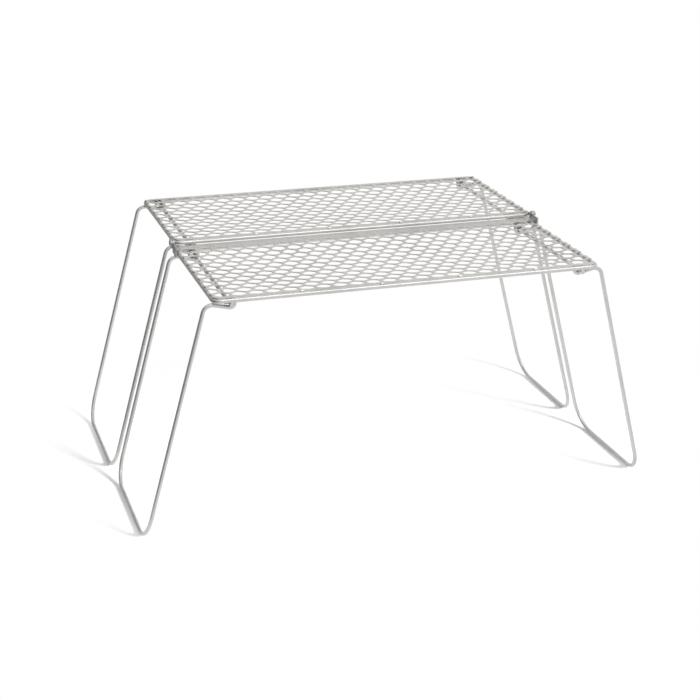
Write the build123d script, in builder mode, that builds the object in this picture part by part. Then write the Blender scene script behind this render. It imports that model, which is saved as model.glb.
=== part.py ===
from build123d import *
from math import asin, atan2, ceil, cos, hypot, radians, sin, tan
import os

# A folding wire cooling rack. Two mesh panels are hinged side by side along their long
# edges and fold face to face. Each panel stands on two U-shaped wire legs that turn on
# the panel's cross rods, open against its end rods and fold up flat beneath it.
# Millimetres; X runs along the panels, Y from front to rear, Z up. The origin is on the
# floor under the middle of the rack.

# Driving dimensions: panels
panel_length = 400.0  # over the frame's end rods
panel_width = 170.0  # over the frame's long rods
panel_gap = 0.4  # between the two panels' long rods, seen from above
panel_step = 7.0  # the rear panel stands this much higher than the front one
rack_height = 257.0  # floor to the top of the rear mesh
frame_wire = 4.5
frame_corner = 10.0  # outer radius of the frame's corners
cross_wire = 4.0
cross_inset = 19.0  # panel's end to the cross rod's axis
cross_end_inset = 0.5  # panel's long edge to the cross rod's end
seat_gap = 0.05  # between pieces that are welded together

# Driving dimensions: expanded mesh
sheet_thickness = 1.2
sheet_front_setback = 0.4  # front rod's axis to the sheet's front edge
sheet_rear_overhang = 2.0  # rear rod's axis to the sheet's rear edge
sheet_end_overhang = 1.0  # end rod's axis to the sheet's end
sheet_corner = 8.0
cell_pitch = 16.7  # hole to hole along a row
row_pitch = 12.0  # row to row
row_count = 13
first_row = 10.5  # front rod's axis to the first row's centres
row_start = -3.8  # panel's middle to a hole of the first row
bond_width = 2.8  # metal between two holes of a row
cell_height = 14.2  # tip to tip
cell_flat = 7.4  # length of a hole's straight sides

# Driving dimensions: welds
tack_count = 4
tack_first = 88.0  # panel's left end to the first tack
tack_pitch = 80.5
tack_length = 3.5
tack_radius = 1.3
rod_weld_radius = 2.2
rod_weld_height = 2.4
ear_weld_radius = 1.3
ear_weld_length = 6.0

# Driving dimensions: legs
leg_wire = 4.0
eye_clearance = 0.1  # radial, between the eye and the cross rod
eye_wrap = 282.0  # degrees of the eye
stop_gap = 0.3  # between an opened leg, or a front ear's beak, and what stops it
knee_reach = 7.5  # end rod's axis to the corner of the knee
knee_radius = 9.0
leg_splay = 15.0  # degrees from upright
foot_radius = 28.0
leg_end_inset = 7.0  # panel's long edge to the left leg's wire axis
nest_clearance = 0.6  # between the left leg and the right leg folded inside it

# Driving dimensions: hinge
folded_gap = 3.0  # between the two meshes when the panels are folded
ear_thickness = 1.5
ear_layer_gap = 0.15
ear_nose_radius = 3.1
ear_neck_drop = 0.4  # fold axis to the ears' upper edge
ear_foot_rise = 0.4  # end rod's underside to the ears' lower edge
ear_length = 16.0  # fold axis to the ear's end
joggle_start = 3.4
joggle_length = 3.0
beak_reach = 4.8  # fold axis to the tip of the front ear's stop beak
beak_height = 3.0
beak_root = 2.0  # how far the beak runs back into the ear
rivet_wire = 3.0
rivet_clearance = 0.05
rivet_head_radius = 2.8
rivet_head_height = 1.4
rivet_head_bevel = 0.8
rivet_tail_radius = 2.4
rivet_tail_height = 1.0

# Heights; each dictionary holds the rear panel's value under 1 and the front's under -1
top_z = {1: rack_height, -1: rack_height - panel_step}
sheet_z = {side: top_z[side] - sheet_thickness for side in top_z}
frame_z = {side: sheet_z[side] - seat_gap - frame_wire / 2 for side in top_z}
cross_drop = (frame_wire + cross_wire) / 2 + seat_gap
cross_z = {side: frame_z[side] - cross_drop for side in top_z}
fold_z = rack_height + (folded_gap - panel_step) / 2

# Places along the panel
end_x = panel_length / 2
end_rod_x = end_x - frame_wire / 2
cross_x = end_x - cross_inset

# Places across the panels, counted from the fold line
near_y = panel_gap / 2
far_y = near_y + panel_width
near_rod_y = near_y + frame_wire / 2
far_rod_y = far_y - frame_wire / 2
panel_y = near_y + panel_width / 2

# Legs: the wire's side view, from the cross rod's axis outwards
eye_radius = cross_wire / 2 + eye_clearance + leg_wire / 2
stop_distance = frame_wire / 2 + stop_gap + leg_wire / 2
stop_x = end_rod_x - cross_x
arm_slope = atan2(cross_drop, stop_x) - asin((stop_distance - eye_radius) / hypot(stop_x, cross_drop))
knee_x = stop_x + knee_reach
knee_z = knee_x * tan(arm_slope) - eye_radius / cos(arm_slope)
foot_z = {side: leg_wire / 2 - cross_z[side] for side in cross_z}
foot_x = {side: knee_x + (knee_z - foot_z[side]) * tan(radians(leg_splay)) for side in foot_z}
left_leg_half = panel_width / 2 - leg_end_inset
right_leg_half = left_leg_half - leg_wire - nest_clearance

# Hinge: two layers outside the end rods, the front ears in the inner one
ear_x = end_x + seat_gap
ear_shift = ear_thickness + ear_layer_gap
ear_low = {side: frame_z[side] - frame_wire / 2 + ear_foot_rise for side in frame_z}
ear_high = fold_z - ear_neck_drop
joggle_end = joggle_start + joggle_length
beak_low = ear_low[1] - stop_gap - beak_height

os.makedirs("parts", exist_ok=True)


def save(builder, name):
    """Labels a finished piece and writes it to its own file."""
    builder.part.label = name
    export_step(builder.part, f"parts/{name}.step")


def frame_rod(side):
    """One panel's rim: a round wire closed on itself with four bent corners."""
    inner_y = side * near_rod_y
    outer_y = side * far_rod_y
    corners = [
        (end_rod_x, outer_y, frame_z[side]),
        (end_rod_x, inner_y, frame_z[side]),
        (-end_rod_x, inner_y, frame_z[side]),
        (-end_rod_x, outer_y, frame_z[side]),
    ]
    with BuildPart() as rod:
        with BuildLine() as path:
            FilletPolyline(*corners, radius=frame_corner - frame_wire / 2, close=True)
        rim = path.wires()[0]
        with BuildSketch(Plane(origin=rim @ 0, z_dir=rim % 0)):
            Circle(frame_wire / 2)
        sweep(path=rim)
    return rod


def cross_rod(side, end):
    """A straight rod welded under the two long rods near one end; the leg turns on it."""
    length = panel_width - 2 * cross_end_inset
    with BuildPart() as rod:
        with BuildSketch(Plane.XZ.offset(-(side * panel_y + length / 2))):
            with Locations((end * cross_x, cross_z[side])):
                Circle(cross_wire / 2)
        extrude(amount=length)
    return rod


def cell_centres(side):
    """Centres of the mesh's holes: rows along X, every other row half a pitch over."""
    front_rod_y = side * panel_y - panel_width / 2 + frame_wire / 2
    reach = ceil(end_x / cell_pitch) + 1
    centres = []
    for row in range(row_count):
        start_x = row_start + cell_pitch / 2 * (row % 2)
        for column in range(-reach, reach + 1):
            x = start_x + column * cell_pitch
            if abs(x) - (cell_pitch - bond_width) / 2 < end_rod_x:
                centres.append((x, front_rod_y + first_row + row * row_pitch))
    return centres


def mesh_sheet(side):
    """Expanded metal: six-sided holes in offset rows between plain front and rear margins."""
    front_y = side * panel_y - panel_width / 2 + frame_wire / 2 + sheet_front_setback
    rear_y = side * panel_y + panel_width / 2 - frame_wire / 2 + sheet_rear_overhang
    half_width = (cell_pitch - bond_width) / 2
    half_flat = cell_flat / 2
    tip = cell_height / 2
    corners = (
        (half_width, half_flat),
        (0, tip),
        (-half_width, half_flat),
        (-half_width, -half_flat),
        (0, -tip),
        (half_width, -half_flat),
    )
    with BuildPart() as sheet:
        with BuildSketch(Plane.XY.offset(sheet_z[side])):
            with Locations((0, (front_y + rear_y) / 2)):
                RectangleRounded(
                    2 * (end_rod_x + sheet_end_overhang), rear_y - front_y, sheet_corner
                )
            with Locations(*cell_centres(side)):
                Polygon(*corners, mode=Mode.SUBTRACT)
        extrude(amount=sheet_thickness)
    return sheet


def tack_welds(side):
    """Short tacks that hold the sheet's plain front edge down on the front rod."""
    rod_y = side * panel_y - panel_width / 2 + frame_wire / 2
    edge_y = rod_y + sheet_front_setback
    first_x = -end_x + tack_first - tack_length / 2
    with BuildPart() as tacks:
        for tack in range(tack_count):
            with BuildSketch(Plane.YZ.offset(first_x + tack * tack_pitch)):
                with Locations((edge_y, sheet_z[side] + sheet_thickness / 2)):
                    Circle(tack_radius)
                with Locations((edge_y, sheet_z[side])):
                    Rectangle(
                        2 * tack_radius,
                        sheet_thickness + tack_radius,
                        align=(Align.MIN, Align.MIN),
                        mode=Mode.SUBTRACT,
                    )
                with Locations((rod_y, frame_z[side])):
                    Circle(frame_wire / 2, mode=Mode.SUBTRACT)
            extrude(amount=tack_length)
    return tacks


def rod_weld(side, x, y):
    """One bead round the contact of a cross rod and a long rod that lies on it."""
    past_bead = 2 * rod_weld_radius + 1
    contact_z = frame_z[side] - (frame_wire + seat_gap) / 2
    with BuildPart(Plane(origin=(x, y, contact_z))) as bead:
        Cylinder(rod_weld_radius, rod_weld_height)
        with Locations((0, 0, (frame_wire + seat_gap) / 2)):
            Cylinder(frame_wire / 2, past_bead, rotation=(0, 90, 0), mode=Mode.SUBTRACT)
        with Locations((0, 0, -(cross_wire + seat_gap) / 2)):
            Cylinder(cross_wire / 2, past_bead, rotation=(90, 0, 0), mode=Mode.SUBTRACT)
    return bead


def ear_weld(side, end):
    """The bead under a hinge ear, in the groove between the ear and the end rod."""
    start_y = side * (near_y + ear_length - (ear_weld_length if side > 0 else 0))
    with BuildPart() as bead:
        with BuildSketch(Plane.XZ.offset(-start_y - ear_weld_length)):
            with Locations((end * ear_x, ear_low[side] + ear_weld_radius)):
                Circle(ear_weld_radius)
                Rectangle(
                    2 * ear_weld_radius,
                    2 * ear_weld_radius,
                    align=(Align.MIN if end > 0 else Align.MAX, Align.CENTER),
                    mode=Mode.SUBTRACT,
                )
            with Locations((end * end_rod_x, frame_z[side])):
                Circle(frame_wire / 2, mode=Mode.SUBTRACT)
        extrude(amount=ear_weld_length)
    return bead


def rod_welds(side):
    """Beads where the cross rods meet the long rods and where the ears meet the end rods."""
    with BuildPart() as beads:
        for end in (-1, 1):
            for y in (side * near_rod_y, side * far_rod_y):
                add(rod_weld(side, end * cross_x, y).part)
            add(ear_weld(side, end).part)
    return beads


def hinge_ear(side, end):
    """A flat ear on a panel's end rod. The rear ears are joggled out over the front ones,
    whose beaks come up under the joggles and stop the top from opening past flat."""
    shift = ear_shift if side > 0 else 0.0
    layers = (ear_x, ear_x + ear_thickness)
    tip = -ear_nose_radius if side > 0 else -beak_reach
    plan = [
        (end * layers[0], side * ear_length),
        (end * layers[0], side * joggle_end),
        (end * (layers[0] + shift), side * joggle_start),
        (end * (layers[0] + shift), side * tip),
        (end * (layers[1] + shift), side * tip),
        (end * (layers[1] + shift), side * joggle_start),
        (end * layers[1], side * joggle_end),
        (end * layers[1], side * ear_length),
    ]
    bottom = min(ear_low[side], fold_z - ear_nose_radius)
    with BuildPart() as ear:
        with BuildSketch(Plane.XY.offset(bottom)):
            with BuildLine():
                Polyline(*plan, close=True)
            make_face()
        extrude(amount=fold_z + ear_nose_radius - bottom)
        with BuildSketch(Plane.YZ.offset(end * end_x)):
            with Locations((0, fold_z)):
                Circle(ear_nose_radius)
            with Locations((0, ear_low[side])):
                Rectangle(
                    ear_length,
                    ear_high - ear_low[side],
                    align=(Align.MIN if side > 0 else Align.MAX, Align.MIN),
                )
            if side < 0:
                with Locations((-beak_root, beak_low)):
                    Rectangle(
                        beak_root + beak_reach, beak_height, align=(Align.MIN, Align.MIN)
                    )
            with Locations((0, fold_z)):
                Circle(rivet_wire / 2 + rivet_clearance, mode=Mode.SUBTRACT)
        extrude(amount=end * (ear_x - end_x + 2 * ear_thickness + ear_shift), mode=Mode.INTERSECT)
    return ear


def rivet(end):
    """A headed pin through both ears of one end; its tail is upset behind the inner ear."""
    inner = ear_x - ear_layer_gap
    outer = ear_x + ear_shift + ear_thickness + ear_layer_gap
    with BuildPart() as pin:
        with BuildSketch(Plane.YZ.offset(end * (inner - rivet_tail_height))):
            with Locations((0, fold_z)):
                Circle(rivet_tail_radius)
        extrude(amount=end * rivet_tail_height)
        with BuildSketch(Plane.YZ.offset(end * inner)):
            with Locations((0, fold_z)):
                Circle(rivet_wire / 2)
        extrude(amount=end * (outer - inner))
        with BuildSketch(Plane.YZ.offset(end * outer)):
            with Locations((0, fold_z)):
                Circle(rivet_head_radius)
        extrude(amount=end * rivet_head_height)
        head_edges = pin.edges().filter_by(GeomType.CIRCLE).sort_by(Axis.X)
        rim = head_edges[-1] if end > 0 else head_edges[0]
        chamfer(rim, rivet_head_bevel)
    return pin


def leg_wire_path(side, end, half):
    """The points of one leg's wire, from one eye round the foot to the other eye."""
    arm = (eye_radius * sin(arm_slope), -eye_radius * cos(arm_slope))
    profile = [arm, (knee_x, knee_z), (foot_x[side], foot_z[side])]
    outward = [(end * (cross_x + x), cross_z[side] + z) for x, z in profile]
    rear = [(x, side * panel_y + half, z) for x, z in outward]
    front = [(x, side * panel_y - half, z) for x, z in reversed(outward)]
    return rear + front


def eye_point(side, end, y, turn):
    """A point on an eye's centre line, a turn in degrees before it meets the arm."""
    angle = arm_slope - radians(90 + turn)
    return (end * (cross_x + eye_radius * cos(angle)), y, cross_z[side] + eye_radius * sin(angle))


def leg(side, end, half):
    """A leg bent from one wire: eye, arm, knee, splayed shank, foot bar, and back again."""
    points = leg_wire_path(side, end, half)
    rear_y = side * panel_y + half
    front_y = side * panel_y - half
    with BuildPart() as wire:
        with BuildLine() as path:
            ThreePointArc(
                eye_point(side, end, rear_y, eye_wrap),
                eye_point(side, end, rear_y, eye_wrap / 2),
                points[0],
            )
            FilletPolyline(*points, radius=[knee_radius, foot_radius, foot_radius, knee_radius])
            ThreePointArc(
                points[-1],
                eye_point(side, end, front_y, eye_wrap / 2),
                eye_point(side, end, front_y, eye_wrap),
            )
        run = path.wires()[0]
        with BuildSketch(Plane(origin=run @ 0, z_dir=run % 0)):
            Circle(leg_wire / 2)
        sweep(path=run)
    return wire


for side, panel in ((1, "rear"), (-1, "front")):
    save(frame_rod(side), f"{panel}_frame_rod")
    save(mesh_sheet(side), f"{panel}_mesh_sheet")
    save(tack_welds(side), f"{panel}_tack_welds")
    save(rod_welds(side), f"{panel}_rod_welds")
    for end, hand in ((-1, "left"), (1, "right")):
        save(cross_rod(side, end), f"{panel}_{hand}_cross_rod")
        save(hinge_ear(side, end), f"{panel}_{hand}_hinge_ear")
        half = left_leg_half if end < 0 else right_leg_half
        save(leg(side, end, half), f"{panel}_{hand}_leg")

for end, hand in ((-1, "left"), (1, "right")):
    save(rivet(end), f"{hand}_hinge_rivet")
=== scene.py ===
"""A folding wire cooling rack: expanded-metal mesh, metal finishes, floor and light.

Metres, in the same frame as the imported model: X along the panels, Y to the rear, Z up.
"""

import math

import bmesh
import bpy
import numpy as np
from bpy.props import FloatProperty, FloatVectorProperty, IntProperty, PointerProperty
from mathutils import Euler, Matrix, Vector


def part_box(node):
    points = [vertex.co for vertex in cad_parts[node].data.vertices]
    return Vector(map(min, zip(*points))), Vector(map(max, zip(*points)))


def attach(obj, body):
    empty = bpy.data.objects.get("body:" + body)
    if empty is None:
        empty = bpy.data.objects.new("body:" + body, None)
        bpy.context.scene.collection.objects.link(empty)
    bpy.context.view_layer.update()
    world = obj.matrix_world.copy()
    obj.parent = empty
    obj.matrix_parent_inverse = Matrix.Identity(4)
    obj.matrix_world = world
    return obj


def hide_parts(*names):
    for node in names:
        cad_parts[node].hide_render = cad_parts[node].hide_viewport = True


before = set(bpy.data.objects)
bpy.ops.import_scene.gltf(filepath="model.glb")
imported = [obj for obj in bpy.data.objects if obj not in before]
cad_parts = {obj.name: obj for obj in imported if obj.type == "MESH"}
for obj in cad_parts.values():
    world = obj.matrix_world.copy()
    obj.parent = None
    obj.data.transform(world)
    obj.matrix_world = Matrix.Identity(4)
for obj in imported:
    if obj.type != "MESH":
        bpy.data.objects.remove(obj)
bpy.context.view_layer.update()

bl_info = {
    "name": "Folding Wire Rack",
    "version": (1, 0, 0),
    "blender": (4, 5, 0),
    "location": "3D View > Sidebar > Rack",
    "description": "Builds the mesh, finishes and stage of a folding wire rack",
    "category": "Add Mesh",
}

PANELS = ("rear", "front")
HANDS = ("left", "right")
MM = 0.001
SMOOTH_ANGLE = math.radians(40)

# The noise values between which a cloud or a speck fades in.
CLOUD_STEP = (0.42, 0.72)
SPECK_STEP = (0.60, 0.74)


# ---------------------------------------------------------------- settings


class MeshSettings(bpy.types.PropertyGroup):
    """Sizes of the expanded-metal sheets."""

    cell_pitch: FloatProperty(
        name="Cell Pitch", description="Hole to hole along a row", default=16.7 * MM, unit="LENGTH"
    )
    row_pitch: FloatProperty(
        name="Row Pitch", description="Row of holes to the next row", default=12.0 * MM, unit="LENGTH"
    )
    row_count: IntProperty(name="Row Count", description="Rows of holes", default=13, min=2)
    first_row: FloatProperty(
        name="First Row", description="Sheet's front edge to the first row's centres",
        default=10.1 * MM, unit="LENGTH",
    )
    row_start: FloatProperty(
        name="Row Start", description="Panel's middle to a hole of the first row", default=-3.8 * MM,
        unit="LENGTH",
    )
    bond_width: FloatProperty(
        name="Bond Width", description="Metal between two holes of a row", default=3.4 * MM, unit="LENGTH"
    )
    cell_height: FloatProperty(
        name="Cell Height", description="A hole's length from tip to tip", default=13.3 * MM, unit="LENGTH"
    )
    cell_flat: FloatProperty(
        name="Cell Flat", description="Length of a hole's straight sides", default=6.9 * MM, unit="LENGTH"
    )
    hole_corner: FloatProperty(
        name="Hole Corner", description="How far a hole's corners are cut back", default=1.0 * MM,
        unit="LENGTH",
    )
    strand_tilt: FloatProperty(
        name="Strand Tilt", description="How far a hole's front edge stands above the sheet's middle",
        default=0.15 * MM, unit="LENGTH",
    )
    plate: FloatProperty(
        name="Plate", description="Thickness of the metal itself", default=0.9 * MM, unit="LENGTH"
    )
    sag: FloatProperty(
        name="Sag", description="How far the sheet dips in its middle", default=3.1 * MM, unit="LENGTH"
    )
    lip: FloatProperty(
        name="Lip", description="Turn-up of the front sheet's rear margin, which only hides the fold's gap",
        default=1.4 * MM, unit="LENGTH",
    )
    lip_run: FloatProperty(
        name="Lip Run", description="Width of the margin that is turned up", default=3.5 * MM, unit="LENGTH"
    )
    tooth_cut: FloatProperty(
        name="Tooth Cut", description="How far an open rear edge stops short of the sheet's box",
        default=3.4 * MM, unit="LENGTH",
    )
    tooth_drop: FloatProperty(
        name="Tooth Drop", description="How far an open rear edge bends down onto its rod",
        default=1.5 * MM, unit="LENGTH",
    )
    tooth_run: FloatProperty(
        name="Tooth Run", description="Length of an open rear edge's bend", default=3.0 * MM, unit="LENGTH"
    )
    sheet_corner: FloatProperty(
        name="Sheet Corner", description="Radius of the sheet's corners", default=8.0 * MM, unit="LENGTH"
    )
    corner_cuts: IntProperty(
        name="Corner Cuts", description="Straight cuts that round each corner", default=3, min=1
    )


class FinishSettings(bpy.types.PropertyGroup):
    """Colours and gloss of the metals."""

    mesh_tone: FloatVectorProperty(
        name="Mesh", description="Plated mesh where it is clean", subtype="COLOR",
        default=(0.61, 0.593, 0.57),
    )
    wire_tone: FloatVectorProperty(
        name="Wire", description="Plated wire where it is clean", subtype="COLOR",
        default=(0.59, 0.58, 0.57),
    )
    dull_tone: FloatVectorProperty(
        name="Dull", description="Clouded plating", subtype="COLOR", default=(0.42, 0.405, 0.39)
    )
    hinge_tone: FloatVectorProperty(
        name="Hinge", description="Stamped ears and rivets", subtype="COLOR", default=(0.44, 0.43, 0.42)
    )
    weld_tone: FloatVectorProperty(
        name="Weld", description="Plated-over weld metal", subtype="COLOR", default=(0.72, 0.70, 0.68)
    )
    wire_roughness: FloatProperty(
        name="Wire Roughness", description="Roughness of the plated wire", default=0.38, min=0, max=1
    )
    mesh_roughness: FloatProperty(
        name="Mesh Roughness", description="Roughness of the plated mesh, ears and welds", default=0.48,
        min=0, max=1,
    )
    mesh_grain: FloatProperty(
        name="Mesh Grain", description="Satin grains in a metre of the mesh", default=900.0
    )
    wire_grain: FloatProperty(
        name="Wire Grain", description="Satin grains in a metre of the wire", default=1400.0
    )
    weld_grain: FloatProperty(
        name="Weld Grain", description="Satin grains in a metre of the welds", default=700.0
    )
    hinge_grain: FloatProperty(
        name="Hinge Grain", description="Satin grains in a metre of the ears", default=1100.0
    )
    cloud_scale: FloatProperty(name="Cloud Scale", description="Clouds in a metre of metal", default=22.0)
    cloud_share: FloatProperty(
        name="Cloud Share", description="How far a cloud dulls the colour", default=0.35, min=0, max=1
    )
    speck_ratio: FloatProperty(name="Speck Ratio", description="Specks for each satin grain", default=2.2)
    speck_share: FloatProperty(
        name="Speck Share", description="How far a speck dulls the colour", default=0.25, min=0, max=1
    )
    grain_spread: FloatProperty(
        name="Grain Spread", description="How much the roughness varies with the grain", default=0.18
    )
    cloud_spread: FloatProperty(
        name="Cloud Spread", description="How much rougher a cloud is", default=0.06
    )
    grain_depth: FloatProperty(
        name="Grain Depth", description="Height of the grain's bumps", default=0.05 * MM, unit="LENGTH"
    )
    grain_strength: FloatProperty(
        name="Grain Strength", description="Strength of the grain's bumps", default=0.35, min=0, max=1
    )
    speck_depth: FloatProperty(
        name="Speck Depth", description="Depth of a speck beside the grain's height", default=0.6
    )


class StageSettings(bpy.types.PropertyGroup):
    """Camera, floor and lamps."""

    camera_place: FloatVectorProperty(
        name="Camera Place", description="Where the camera stands", subtype="TRANSLATION",
        default=(-0.5020, -1.4934, 0.7197), unit="LENGTH",
    )
    camera_heading: FloatProperty(
        name="Camera Heading", description="Turn of the view from straight rearward to the right",
        default=math.radians(18.30), subtype="ANGLE",
    )
    camera_dip: FloatProperty(
        name="Camera Dip", description="How far the camera looks down", default=math.radians(20.98),
        subtype="ANGLE",
    )
    camera_roll: FloatProperty(
        name="Camera Roll", description="How far the camera leans to the right",
        default=math.radians(-0.735), subtype="ANGLE",
    )
    lens: FloatProperty(name="Lens", description="Focal length in millimetres", default=79.16)
    floor_size: FloatProperty(
        name="Floor Size", description="Side of the floor", default=24.0, unit="LENGTH"
    )
    floor_tone: FloatVectorProperty(
        name="Floor", description="Pale floor", subtype="COLOR", default=(0.97, 0.97, 0.97)
    )
    fade_start: FloatProperty(
        name="Fade Start", description="From the rack's middle to where the floor starts to turn plain white",
        default=0.25, unit="LENGTH",
    )
    fade_end: FloatProperty(
        name="Fade End", description="From the rack's middle to where the floor is plain white", default=0.38,
        unit="LENGTH",
    )
    key_power: FloatProperty(
        name="Key Power", description="Main light, in watts per square metre", default=4.8
    )
    key_width: FloatProperty(
        name="Key Width", description="How wide the main light looks", default=math.radians(12),
        subtype="ANGLE",
    )
    key_side: FloatProperty(
        name="Key Side", description="Turn of the main light from the front to the right",
        default=math.radians(33), subtype="ANGLE",
    )
    key_height: FloatProperty(
        name="Key Height", description="Main light above the floor", default=math.radians(24),
        subtype="ANGLE",
    )
    sky: FloatProperty(name="Sky", description="Strength of the light from all round", default=0.58)
    # Painted highlight: the softbox is a glowing card, no lamp, that only the metal mirrors.
    softbox_glow: FloatProperty(
        name="Softbox Glow", description="Strength of the softbox above the front, as the metal mirrors it",
        default=5.0,
    )
    softbox_low: FloatVectorProperty(
        name="Softbox Low", description="Softbox's left front corner", subtype="TRANSLATION", unit="LENGTH",
        default=(-0.1, -1.15, 1.5),
    )
    softbox_high: FloatVectorProperty(
        name="Softbox High", description="Softbox's right rear corner", subtype="TRANSLATION",
        unit="LENGTH", default=(1.0, -0.65, 1.5),
    )
    # Painted shade: the dark cards are seen only in the metal's reflections, never by the camera, by diffuse
    # light or in shadows.
    mirrored_shade_tone: FloatVectorProperty(
        name="Card", description="Dark cards that give the bright metal something to mirror",
        subtype="COLOR", default=(0.2, 0.2, 0.2),
    )
    card_low: FloatVectorProperty(
        name="Card Low", description="Left front corner of the dark corner, on the floor",
        subtype="TRANSLATION", unit="LENGTH", default=(-1.2, -1.6, 0.0),
    )
    card_far: FloatProperty(
        name="Card Far", description="Where the dark corner's rear card stands", default=1.0, unit="LENGTH"
    )
    card_height: FloatProperty(
        name="Card Height", description="Height of the upright cards", default=1.3, unit="LENGTH"
    )
    floor_card_end: FloatProperty(
        name="Floor Card End", description="Right end of the card on the floor", default=-0.42, unit="LENGTH"
    )
    rear_card_end: FloatProperty(
        name="Rear Card End", description="Right end of the rear card", default=-0.25, unit="LENGTH"
    )


# ---------------------------------------------------------------- materials


class Value:
    """One output socket of a material; Python's operators on it add Math nodes."""

    def __init__(self, finish, socket):
        self.finish = finish
        self.socket = socket

    def math(self, operation, other):
        return self.finish.node("ShaderNodeMath", {"operation": operation}, [self, other])

    def __add__(self, other):
        return self.math("ADD", other)

    def __mul__(self, other):
        return self.math("MULTIPLY", other)

    __radd__ = __add__
    __rmul__ = __mul__


class Finish:
    """A material's or world's nodes, written as expressions."""

    def __init__(self, owner):
        owner.use_nodes = True
        self.owner = owner
        self.tree = owner.node_tree
        self.tree.nodes.clear()

    @classmethod
    def named(cls, name):
        """The nodes of a new material."""
        return cls(bpy.data.materials.new(name))

    def put(self, socket, value):
        """Links a value to a socket, or sets the socket to a plain number, vector or colour."""
        if isinstance(value, Value):
            self.tree.links.new(value.socket, socket)
        elif hasattr(value, "__len__") and len(value) == 3 and socket.type == "RGBA":
            socket.default_value = (*value, 1.0)
        else:
            socket.default_value = value

    def node(self, kind, settings=None, inputs=(), output=0):
        """Adds a node: its settings first, then its sockets by name or in order."""
        made = self.tree.nodes.new(kind)
        for key, value in (settings or {}).items():
            setattr(made, key, value)
        pairs = inputs.items() if isinstance(inputs, dict) else enumerate(inputs)
        for key, value in pairs:
            self.put(made.inputs[key], value)
        return Value(self, made.outputs[output]) if made.outputs else None

    def place(self):
        """The point of the piece that is shaded, in its own coordinates."""
        return self.node("ShaderNodeTexCoord", output="Object")

    def noise(self, point, scale, detail=2.0, roughness=0.5):
        sockets = {"Vector": point, "Scale": scale, "Detail": detail, "Roughness": roughness}
        return self.node("ShaderNodeTexNoise", {}, sockets)

    def step(self, value, low, high):
        """0 below low, 1 above high and smooth between them."""
        settings = {"interpolation_type": "SMOOTHSTEP"}
        sockets = {"Value": value, "From Min": low, "From Max": high}
        return self.node("ShaderNodeMapRange", settings, sockets)

    def blend(self, factor, first, second):
        """A colour between two others."""
        settings = {"data_type": "RGBA"}
        return self.node("ShaderNodeMix", settings, {0: factor, 6: first, 7: second}, output=2)

    def bump(self, height, strength, distance):
        sockets = {"Height": height, "Strength": strength, "Distance": distance}
        return self.node("ShaderNodeBump", {}, sockets)

    def surface(self, **sockets):
        """Ends the material in a Principled shader; underscores in socket names stand for spaces."""
        named = {key.replace("_", " "): value for key, value in sockets.items()}
        shader = self.node("ShaderNodeBsdfPrincipled", {}, named)
        self.node("ShaderNodeOutputMaterial", {}, {"Surface": shader})
        return self.owner


def plated_metal(name, look, tone, roughness, grain):
    """Bright plating over steel: faint clouds, fine specks and a satin grain of the given scale.

    The roughness given is that of metal where the grain is at a half and the clouds at a third.
    """
    finish = Finish.named(name)
    point = finish.place()
    clouds = finish.step(finish.noise(point, look.cloud_scale, detail=3.0), *CLOUD_STEP)
    specks = finish.step(finish.noise(point, grain * look.speck_ratio), *SPECK_STEP)
    satin = finish.noise(point, grain, detail=4.0, roughness=0.6)
    colour = finish.blend(clouds * look.cloud_share, tone, look.dull_tone)
    colour = finish.blend(specks * look.speck_share, colour, look.dull_tone)
    base = roughness - look.grain_spread / 2 - look.cloud_spread / 3
    return finish.surface(
        Base_Color=colour,
        Metallic=1.0,
        Roughness=satin * look.grain_spread + clouds * look.cloud_spread + base,
        Normal=finish.bump(satin + specks * -look.speck_depth, look.grain_strength, look.grain_depth),
    )


# ---------------------------------------------------------------- mesh tools


def mesh_object(name, bm, body, material):
    """Turns a bmesh into a smooth-shaded object that rides on a body."""
    data = bpy.data.meshes.new(name)
    bm.to_mesh(data)
    bm.free()
    data.shade_smooth()
    data.set_sharp_from_angle(angle=SMOOTH_ANGLE)
    data.materials.append(material)
    piece = bpy.data.objects.new(name, data)
    bpy.context.scene.collection.objects.link(piece)
    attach(piece, body)
    return piece


def grid_bmesh(points, faces):
    """A bmesh of an array of points and an array of faces, with doubled points merged."""
    data = bpy.data.meshes.new("grid")
    data.from_pydata(points.reshape(-1, 3).tolist(), [], faces.tolist())
    bm = bmesh.new()
    bm.from_mesh(data)
    bpy.data.meshes.remove(data)
    bmesh.ops.remove_doubles(bm, verts=bm.verts, dist=0.01 * MM)
    return bm


def hexagon(half_width, half_flat, tip, cut):
    """Twelve points round a six-sided ring: every corner gives two, cut back along its two sides."""
    corners = np.array(
        [
            (half_width, half_flat),
            (0, tip),
            (-half_width, half_flat),
            (-half_width, -half_flat),
            (0, -tip),
            (half_width, -half_flat),
        ]
    )
    sides = np.stack([np.roll(corners, 1, 0) - corners, np.roll(corners, -1, 0) - corners], 1)
    sides /= np.linalg.norm(sides, axis=2, keepdims=True)
    return (corners[:, None] + cut * sides).reshape(-1, 2)


# Across a strand, from its top ridge round its rounded edge to its underside: how far towards the
# strand's middle from the hole's edge, and the height in plate thicknesses from the plate's middle.
STRAND_PROFILE = np.array(
    [(1.0, 0.5), (0.34, 0.485), (0.08, 0.36), (0.0, 0.08), (0.03, -0.34), (0.2, -0.5), (1.0, -0.5)]
)


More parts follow.
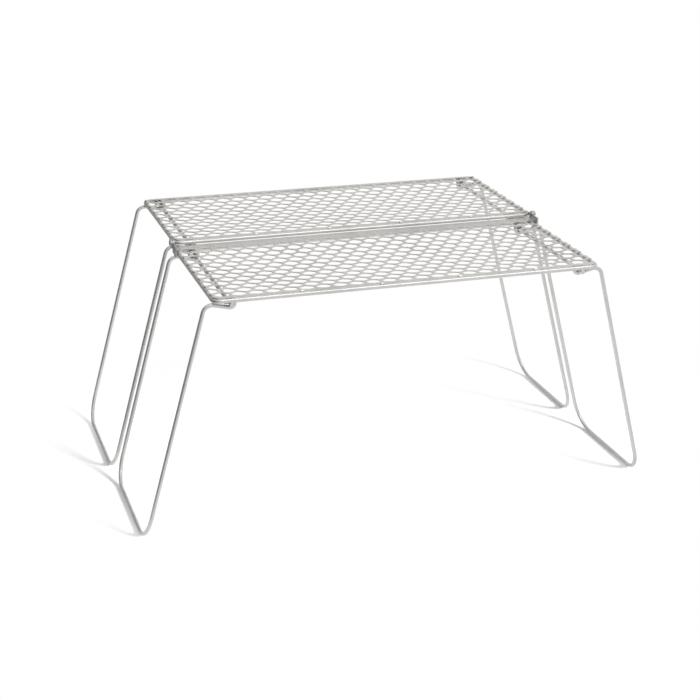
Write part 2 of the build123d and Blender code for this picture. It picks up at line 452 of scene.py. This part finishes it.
def expanded_sheet(low, high, size, open_rear):
    """An expanded-metal sheet that fills a box and dips in its middle.

    An open rear has one more row of holes, which the edge cuts in half, and its teeth bend down by
    drop * (1 - distance from the edge / run). A closed rear has a plain margin, turned up likewise,
    which no real sheet need have: it only hides the gap at the fold.

    Each hole is a stack of rings: ring k is (1 - s) * hole + s * middle, where hole is the six-sided
    hole, middle the line half way to its neighbours and s the profile's share. In the first row, and
    in a closed sheet's last, the middle line runs out to the sheet's edge. A ring's height is the
    profile's height times the plate, less the tilt times y / tip, which fades to 0 at the middle.
    """
    hole = hexagon(
        (size.cell_pitch - size.bond_width) / 2, size.cell_flat / 2, size.cell_height / 2, size.hole_corner
    )
    strand_end = (size.cell_height / 2 + 2 * (size.row_pitch - size.cell_flat / 2)) / 3
    middle = hexagon(size.cell_pitch / 2, size.row_pitch - strand_end, strand_end, 0.0)
    rows = size.row_count + open_rear
    last = rows - 1
    outer = np.repeat(middle[None], rows, 0)
    outer[0, middle[:, 1] < 0, 1] = -size.first_row
    if not open_rear:
        outer[last, middle[:, 1] > 0, 1] = high.y - low.y - size.first_row - last * size.row_pitch
    share, height = STRAND_PROFILE[:, :1, None], STRAND_PROFILE[:, 1:]
    plan = (1 - share) * hole + share * outer[:, None]
    fade = size.strand_tilt * (1 - STRAND_PROFILE[:, :1]) / (size.cell_height / 2)
    level = height * size.plate - fade * plan[..., 1] + (low.z + high.z) / 2
    rings = np.concatenate([plan, level[..., None]], -1)
    reach = math.ceil(high.x / size.cell_pitch) + 1
    row, column = np.meshgrid(np.arange(rows), np.arange(-reach, reach + 1), indexing="ij")
    centres = np.zeros((*row.shape, 3))
    centres[..., 0] = size.row_start + (column + row % 2 / 2) * size.cell_pitch
    centres[..., 1] = low.y + size.first_row + row * size.row_pitch
    points = (centres[:, :, None, None] + rings[:, None]).reshape(-1, *rings.shape[1:])
    faces = [ring_faces(points)]
    columns = row.shape[1]
    rims = [(np.arange(columns), outer[0, :, 1] == -size.first_row)]
    if not open_rear:
        rims.append((np.arange(last * columns, len(points)), outer[last, :, 1] == outer[last, :, 1].max()))
    for cells, edge in rims:
        spokes = np.flatnonzero(edge & np.roll(edge, -1))
        faces.append(rim_faces(points, cells, spokes))
    points[..., 2] -= dip(points, low, high, size.sag)
    rear_edge = high.y - size.tooth_cut if open_rear else high.y
    rise, run = (-size.tooth_drop, size.tooth_run) if open_rear else (size.lip, size.lip_run)
    points[..., 2] += rise * np.clip(1 - (rear_edge - points[..., 1]) / run, 0, 1)
    bm = grid_bmesh(points, np.concatenate(faces))
    trim_outline(bm, low, high, size, open_rear)
    bmesh.ops.recalc_face_normals(bm, faces=bm.faces)
    return bm


def dip(points, low, high, sag):
    """How far the sheet hangs below flat: sag * (1 - v^2) * (1 - u^6), u and v from -1 to 1."""
    u = np.clip(points[..., 0] / high.x, -1, 1)
    v = np.clip((2 * points[..., 1] - low.y - high.y) / (high.y - low.y), -1, 1)
    return sag * (1 - v**2) * (1 - u**6)


def ring_index(points, cell, ring, spoke):
    """A point's number in the flat list of points; spokes past the last start again."""
    return (cell * points.shape[1] + ring) * points.shape[2] + spoke % points.shape[2]


def ring_faces(points):
    """Quads between each ring of a cell and the next."""
    cells, rings, spokes = points.shape[:3]
    cell, ring, spoke = np.meshgrid(
        np.arange(cells), np.arange(rings - 1), np.arange(spokes), indexing="ij"
    )
    corners = [(ring, spoke), (ring, spoke + 1), (ring + 1, spoke + 1), (ring + 1, spoke)]
    return np.stack([ring_index(points, cell, *corner) for corner in corners], -1).reshape(-1, 4)


def rim_faces(points, cells, spokes):
    """Quads that close the sheet's edge between its top ridge and its underside."""
    cell, spoke = np.meshgrid(cells, spokes, indexing="ij")
    under = points.shape[1] - 1
    corners = [(0, spoke), (under, spoke), (under, spoke + 1), (0, spoke + 1)]
    return np.stack([ring_index(points, cell, *corner) for corner in corners], -1).reshape(-1, 4)


def trim_outline(bm, low, high, size, open_rear):
    """Cuts a sheet to its box and rounds the box's corners with a few straight cuts, ends closed."""
    cuts = [(Vector((end * high.x, 0, 0)), Vector((end, 0, 0))) for end in (-1, 1)]
    if open_rear:
        cuts.append((high - Vector((0, size.tooth_cut, 0)), Vector((0, 1, 0))))
    for end in (-1, 1):
        for rear in (-1, 1):
            edge = high.y if rear > 0 else low.y
            pivot = Vector((end * (high.x - size.sheet_corner), edge - rear * size.sheet_corner, 0))
            for step in range(size.corner_cuts):
                turn = math.radians(90) * (step + 0.5) / size.corner_cuts
                normal = Vector((end * math.cos(turn), rear * math.sin(turn), 0))
                cuts.append((pivot + normal * size.sheet_corner, normal))
    for place, normal in cuts:
        geometry = bm.verts[:] + bm.edges[:] + bm.faces[:]
        made = bmesh.ops.bisect_plane(bm, geom=geometry, plane_co=place, plane_no=normal, clear_outer=True)
        edges = [g for g in made["geom_cut"] if isinstance(g, bmesh.types.BMEdge)]
        bmesh.ops.edgeloop_fill(bm, edges=edges)


# ---------------------------------------------------------------- operators


class RACK_OT_mesh(bpy.types.Operator):
    """Build both panels' expanded-metal sheets."""

    bl_idname = "rack.mesh"
    bl_label = "Expanded Metal"

    def execute(self, context):
        size, look = context.scene.rack_mesh, context.scene.rack_finish
        material = plated_metal(
            "mesh_plating", look, look.mesh_tone, look.mesh_roughness, look.mesh_grain
        )
        for panel in PANELS:
            low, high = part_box(f"{panel}_mesh_sheet")
            bm = expanded_sheet(low, high, size, panel == "rear")
            piece = mesh_object(f"{panel}_mesh", bm, f"{panel}_panel", material)
            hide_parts(f"{panel}_mesh_sheet")
        return {"FINISHED"}


class RACK_OT_wires(bpy.types.Operator):
    """Finish the frame rods, cross rods, legs and weld beads."""

    bl_idname = "rack.wires"
    bl_label = "Wires"

    def execute(self, context):
        look = context.scene.rack_finish
        wire = plated_metal("wire_plating", look, look.wire_tone, look.wire_roughness, look.wire_grain)
        weld = plated_metal("weld_plating", look, look.weld_tone, look.mesh_roughness, look.weld_grain)
        for panel in PANELS:
            paint(f"{panel}_frame_rod", wire)
            paint(f"{panel}_tack_welds", weld)
            paint(f"{panel}_rod_welds", weld)
            for hand in HANDS:
                paint(f"{panel}_{hand}_cross_rod", wire)
                paint(f"{panel}_{hand}_leg", wire)
        return {"FINISHED"}


class RACK_OT_hinges(bpy.types.Operator):
    """Finish the ears and rivets."""

    bl_idname = "rack.hinges"
    bl_label = "Hinges"

    def execute(self, context):
        look = context.scene.rack_finish
        steel = plated_metal(
            "hinge_plating", look, look.hinge_tone, look.mesh_roughness, look.hinge_grain
        )
        for hand in HANDS:
            paint(f"{hand}_hinge_rivet", steel)
            for panel in PANELS:
                paint(f"{panel}_{hand}_hinge_ear", steel)
        return {"FINISHED"}


def paint(node, material):
    """Gives a carried-over node its finish."""
    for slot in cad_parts[node].material_slots:
        slot.material = material


class RACK_OT_stage(bpy.types.Operator):
    """Build the floor, the light, the mirrored cards of painted shade and painted highlight, and the camera.
    """

    bl_idname = "rack.stage"
    bl_label = "Stage"

    def execute(self, context):
        stage = context.scene.rack_stage
        make_floor(stage)
        make_world(stage)
        make_key(stage)
        make_cards(stage)
        make_camera(stage)
        context.scene.view_settings.view_transform = "Standard"
        return {"FINISHED"}


def shown_white(finish):
    """1 for rays that show the background: straight to the camera, by gloss or through glass."""
    names = ("Is Camera Ray", "Is Glossy Ray", "Is Transmission Ray")
    camera, glossy, clear = [finish.node("ShaderNodeLightPath", output=name) for name in names]
    return camera.math("MAXIMUM", glossy).math("MAXIMUM", clear)


def flat_cards(name, cards, finish, shader):
    """An object of flat four-cornered cards in one finish."""
    finish.node("ShaderNodeOutputMaterial", {}, {"Surface": shader})
    corners = [corner for card in cards for corner in card]
    data = bpy.data.meshes.new(name)
    data.from_pydata(corners, [], [tuple(range(4 * k, 4 * k + 4)) for k in range(len(cards))])
    data.materials.append(finish.owner)
    piece = bpy.data.objects.new(name, data)
    bpy.context.scene.collection.objects.link(piece)
    return piece


def mirrored(piece):
    """Makes a stage piece that no ray meets but those off shiny metal."""
    piece.visible_camera = False
    piece.visible_diffuse = False
    piece.visible_shadow = False


def make_floor(stage):
    """A pale floor that takes shadows near the rack and turns plain white away from it."""
    half = stage.floor_size / 2
    corners = [(-half, -half, 0), (half, -half, 0), (half, half, 0), (-half, half, 0)]
    finish = Finish.named("pale_floor")
    plain = finish.node("ShaderNodeBsdfDiffuse", {}, {"Color": stage.floor_tone})
    glow = finish.node("ShaderNodeEmission", {}, {"Color": (1, 1, 1), "Strength": 1.0})
    away = finish.node("ShaderNodeVectorMath", {"operation": "LENGTH"}, [finish.place()], output="Value")
    share = shown_white(finish) * finish.step(away, stage.fade_start, stage.fade_end)
    mixed = finish.node("ShaderNodeMixShader", {}, [share, plain, glow])
    floor = flat_cards("floor", [corners], finish, mixed)


def make_world(stage):
    """Light from all round, which shows as white."""
    room = Finish(bpy.data.worlds.new("soft_room"))
    bpy.context.scene.world = room.owner
    strength = shown_white(room) * (1 - stage.sky) + stage.sky
    light = room.node("ShaderNodeBackground", {}, {"Color": (1, 1, 1), "Strength": strength})
    room.node("ShaderNodeOutputWorld", {}, {"Surface": light})


def make_key(stage):
    """A soft sun from the front right, which the metal doesn't mirror."""
    lamp = bpy.data.lights.new("key", "SUN")
    lamp.energy = stage.key_power
    lamp.angle = stage.key_width
    holder = bpy.data.objects.new("key", lamp)
    holder.rotation_euler = (math.radians(90) - stage.key_height, 0, stage.key_side)
    holder.visible_glossy = False
    bpy.context.scene.collection.objects.link(holder)


def make_cards(stage):
    """A dark corner at the left and a softbox above the front, which only mirror in the metal: painted shade
    and a painted highlight in its reflections.
    """
    left, near, low = stage.card_low
    far, high = stage.card_far, low + stage.card_height
    floor_end, rear_end = stage.floor_card_end, stage.rear_card_end
    above = low + MM  # clear of the floor
    floor_card = [(left, near, above), (floor_end, near, above), (floor_end, far, above), (left, far, above)]
    left_card = [(left, near, low), (left, far, low), (left, far, high), (left, near, high)]
    rear_card = [(left, far, low), (rear_end, far, low), (rear_end, far, high), (left, far, high)]
    # Painted shade in the metal's reflections: dark cards at the left that only the metal mirrors.
    dark = Finish.named("mirrored_shade_card")
    shade = dark.node("ShaderNodeBsdfDiffuse", {}, {"Color": stage.mirrored_shade_tone})
    mirrored(flat_cards("mirrored_shade_corner", [floor_card, left_card, rear_card], dark, shade))
    (x0, y0, z0), (x1, y1, z1) = stage.softbox_low, stage.softbox_high
    roof = [(x0, y0, z0), (x1, y0, z0), (x1, y1, z1), (x0, y1, z1)]
    # Painted highlight: a glowing card, no lamp, seen only in the metal's reflections.
    bright = Finish.named("softbox")
    glow = bright.node("ShaderNodeEmission", {}, {"Color": (1, 1, 1), "Strength": stage.softbox_glow})
    mirrored(flat_cards("softbox", [roof], bright, glow))


def make_camera(stage):
    """A camera turned to its heading, dipped and leant."""
    data = bpy.data.cameras.new("camera")
    data.lens = stage.lens
    data.sensor_width = 36.0
    camera = bpy.data.objects.new("camera", data)
    camera.location = stage.camera_place
    level = Euler((math.radians(90) - stage.camera_dip, 0, -stage.camera_heading)).to_matrix()
    camera.rotation_euler = (level @ Matrix.Rotation(-stage.camera_roll, 3, "Z")).to_euler()
    bpy.context.scene.collection.objects.link(camera)
    bpy.context.scene.camera = camera


class RACK_PT_sidebar(bpy.types.Panel):
    """Buttons and settings of the rack."""

    bl_idname = "RACK_PT_sidebar"
    bl_label = "Folding Wire Rack"
    bl_space_type = "VIEW_3D"
    bl_region_type = "UI"
    bl_category = "Rack"

    def draw(self, context):
        for operator in OPERATORS:
            self.layout.operator(operator.bl_idname)
        for group in ("rack_mesh", "rack_finish", "rack_stage"):
            owner = getattr(context.scene, group)
            for key in owner.__annotations__:
                self.layout.prop(owner, key)


SETTINGS = {"rack_mesh": MeshSettings, "rack_finish": FinishSettings, "rack_stage": StageSettings}
OPERATORS = (RACK_OT_mesh, RACK_OT_wires, RACK_OT_hinges, RACK_OT_stage)


def register():
    for kind in (*SETTINGS.values(), *OPERATORS, RACK_PT_sidebar):
        bpy.utils.register_class(kind)
    for key, kind in SETTINGS.items():
        setattr(bpy.types.Scene, key, PointerProperty(type=kind))


def unregister():
    for key in SETTINGS:
        delattr(bpy.types.Scene, key)
    for kind in (RACK_PT_sidebar, *reversed(OPERATORS), *reversed(SETTINGS.values())):
        bpy.utils.unregister_class(kind)


def main():
    register()
    bpy.ops.rack.mesh()
    bpy.ops.rack.wires()
    bpy.ops.rack.hinges()
    bpy.ops.rack.stage()


if __name__ == "__main__":
    main()
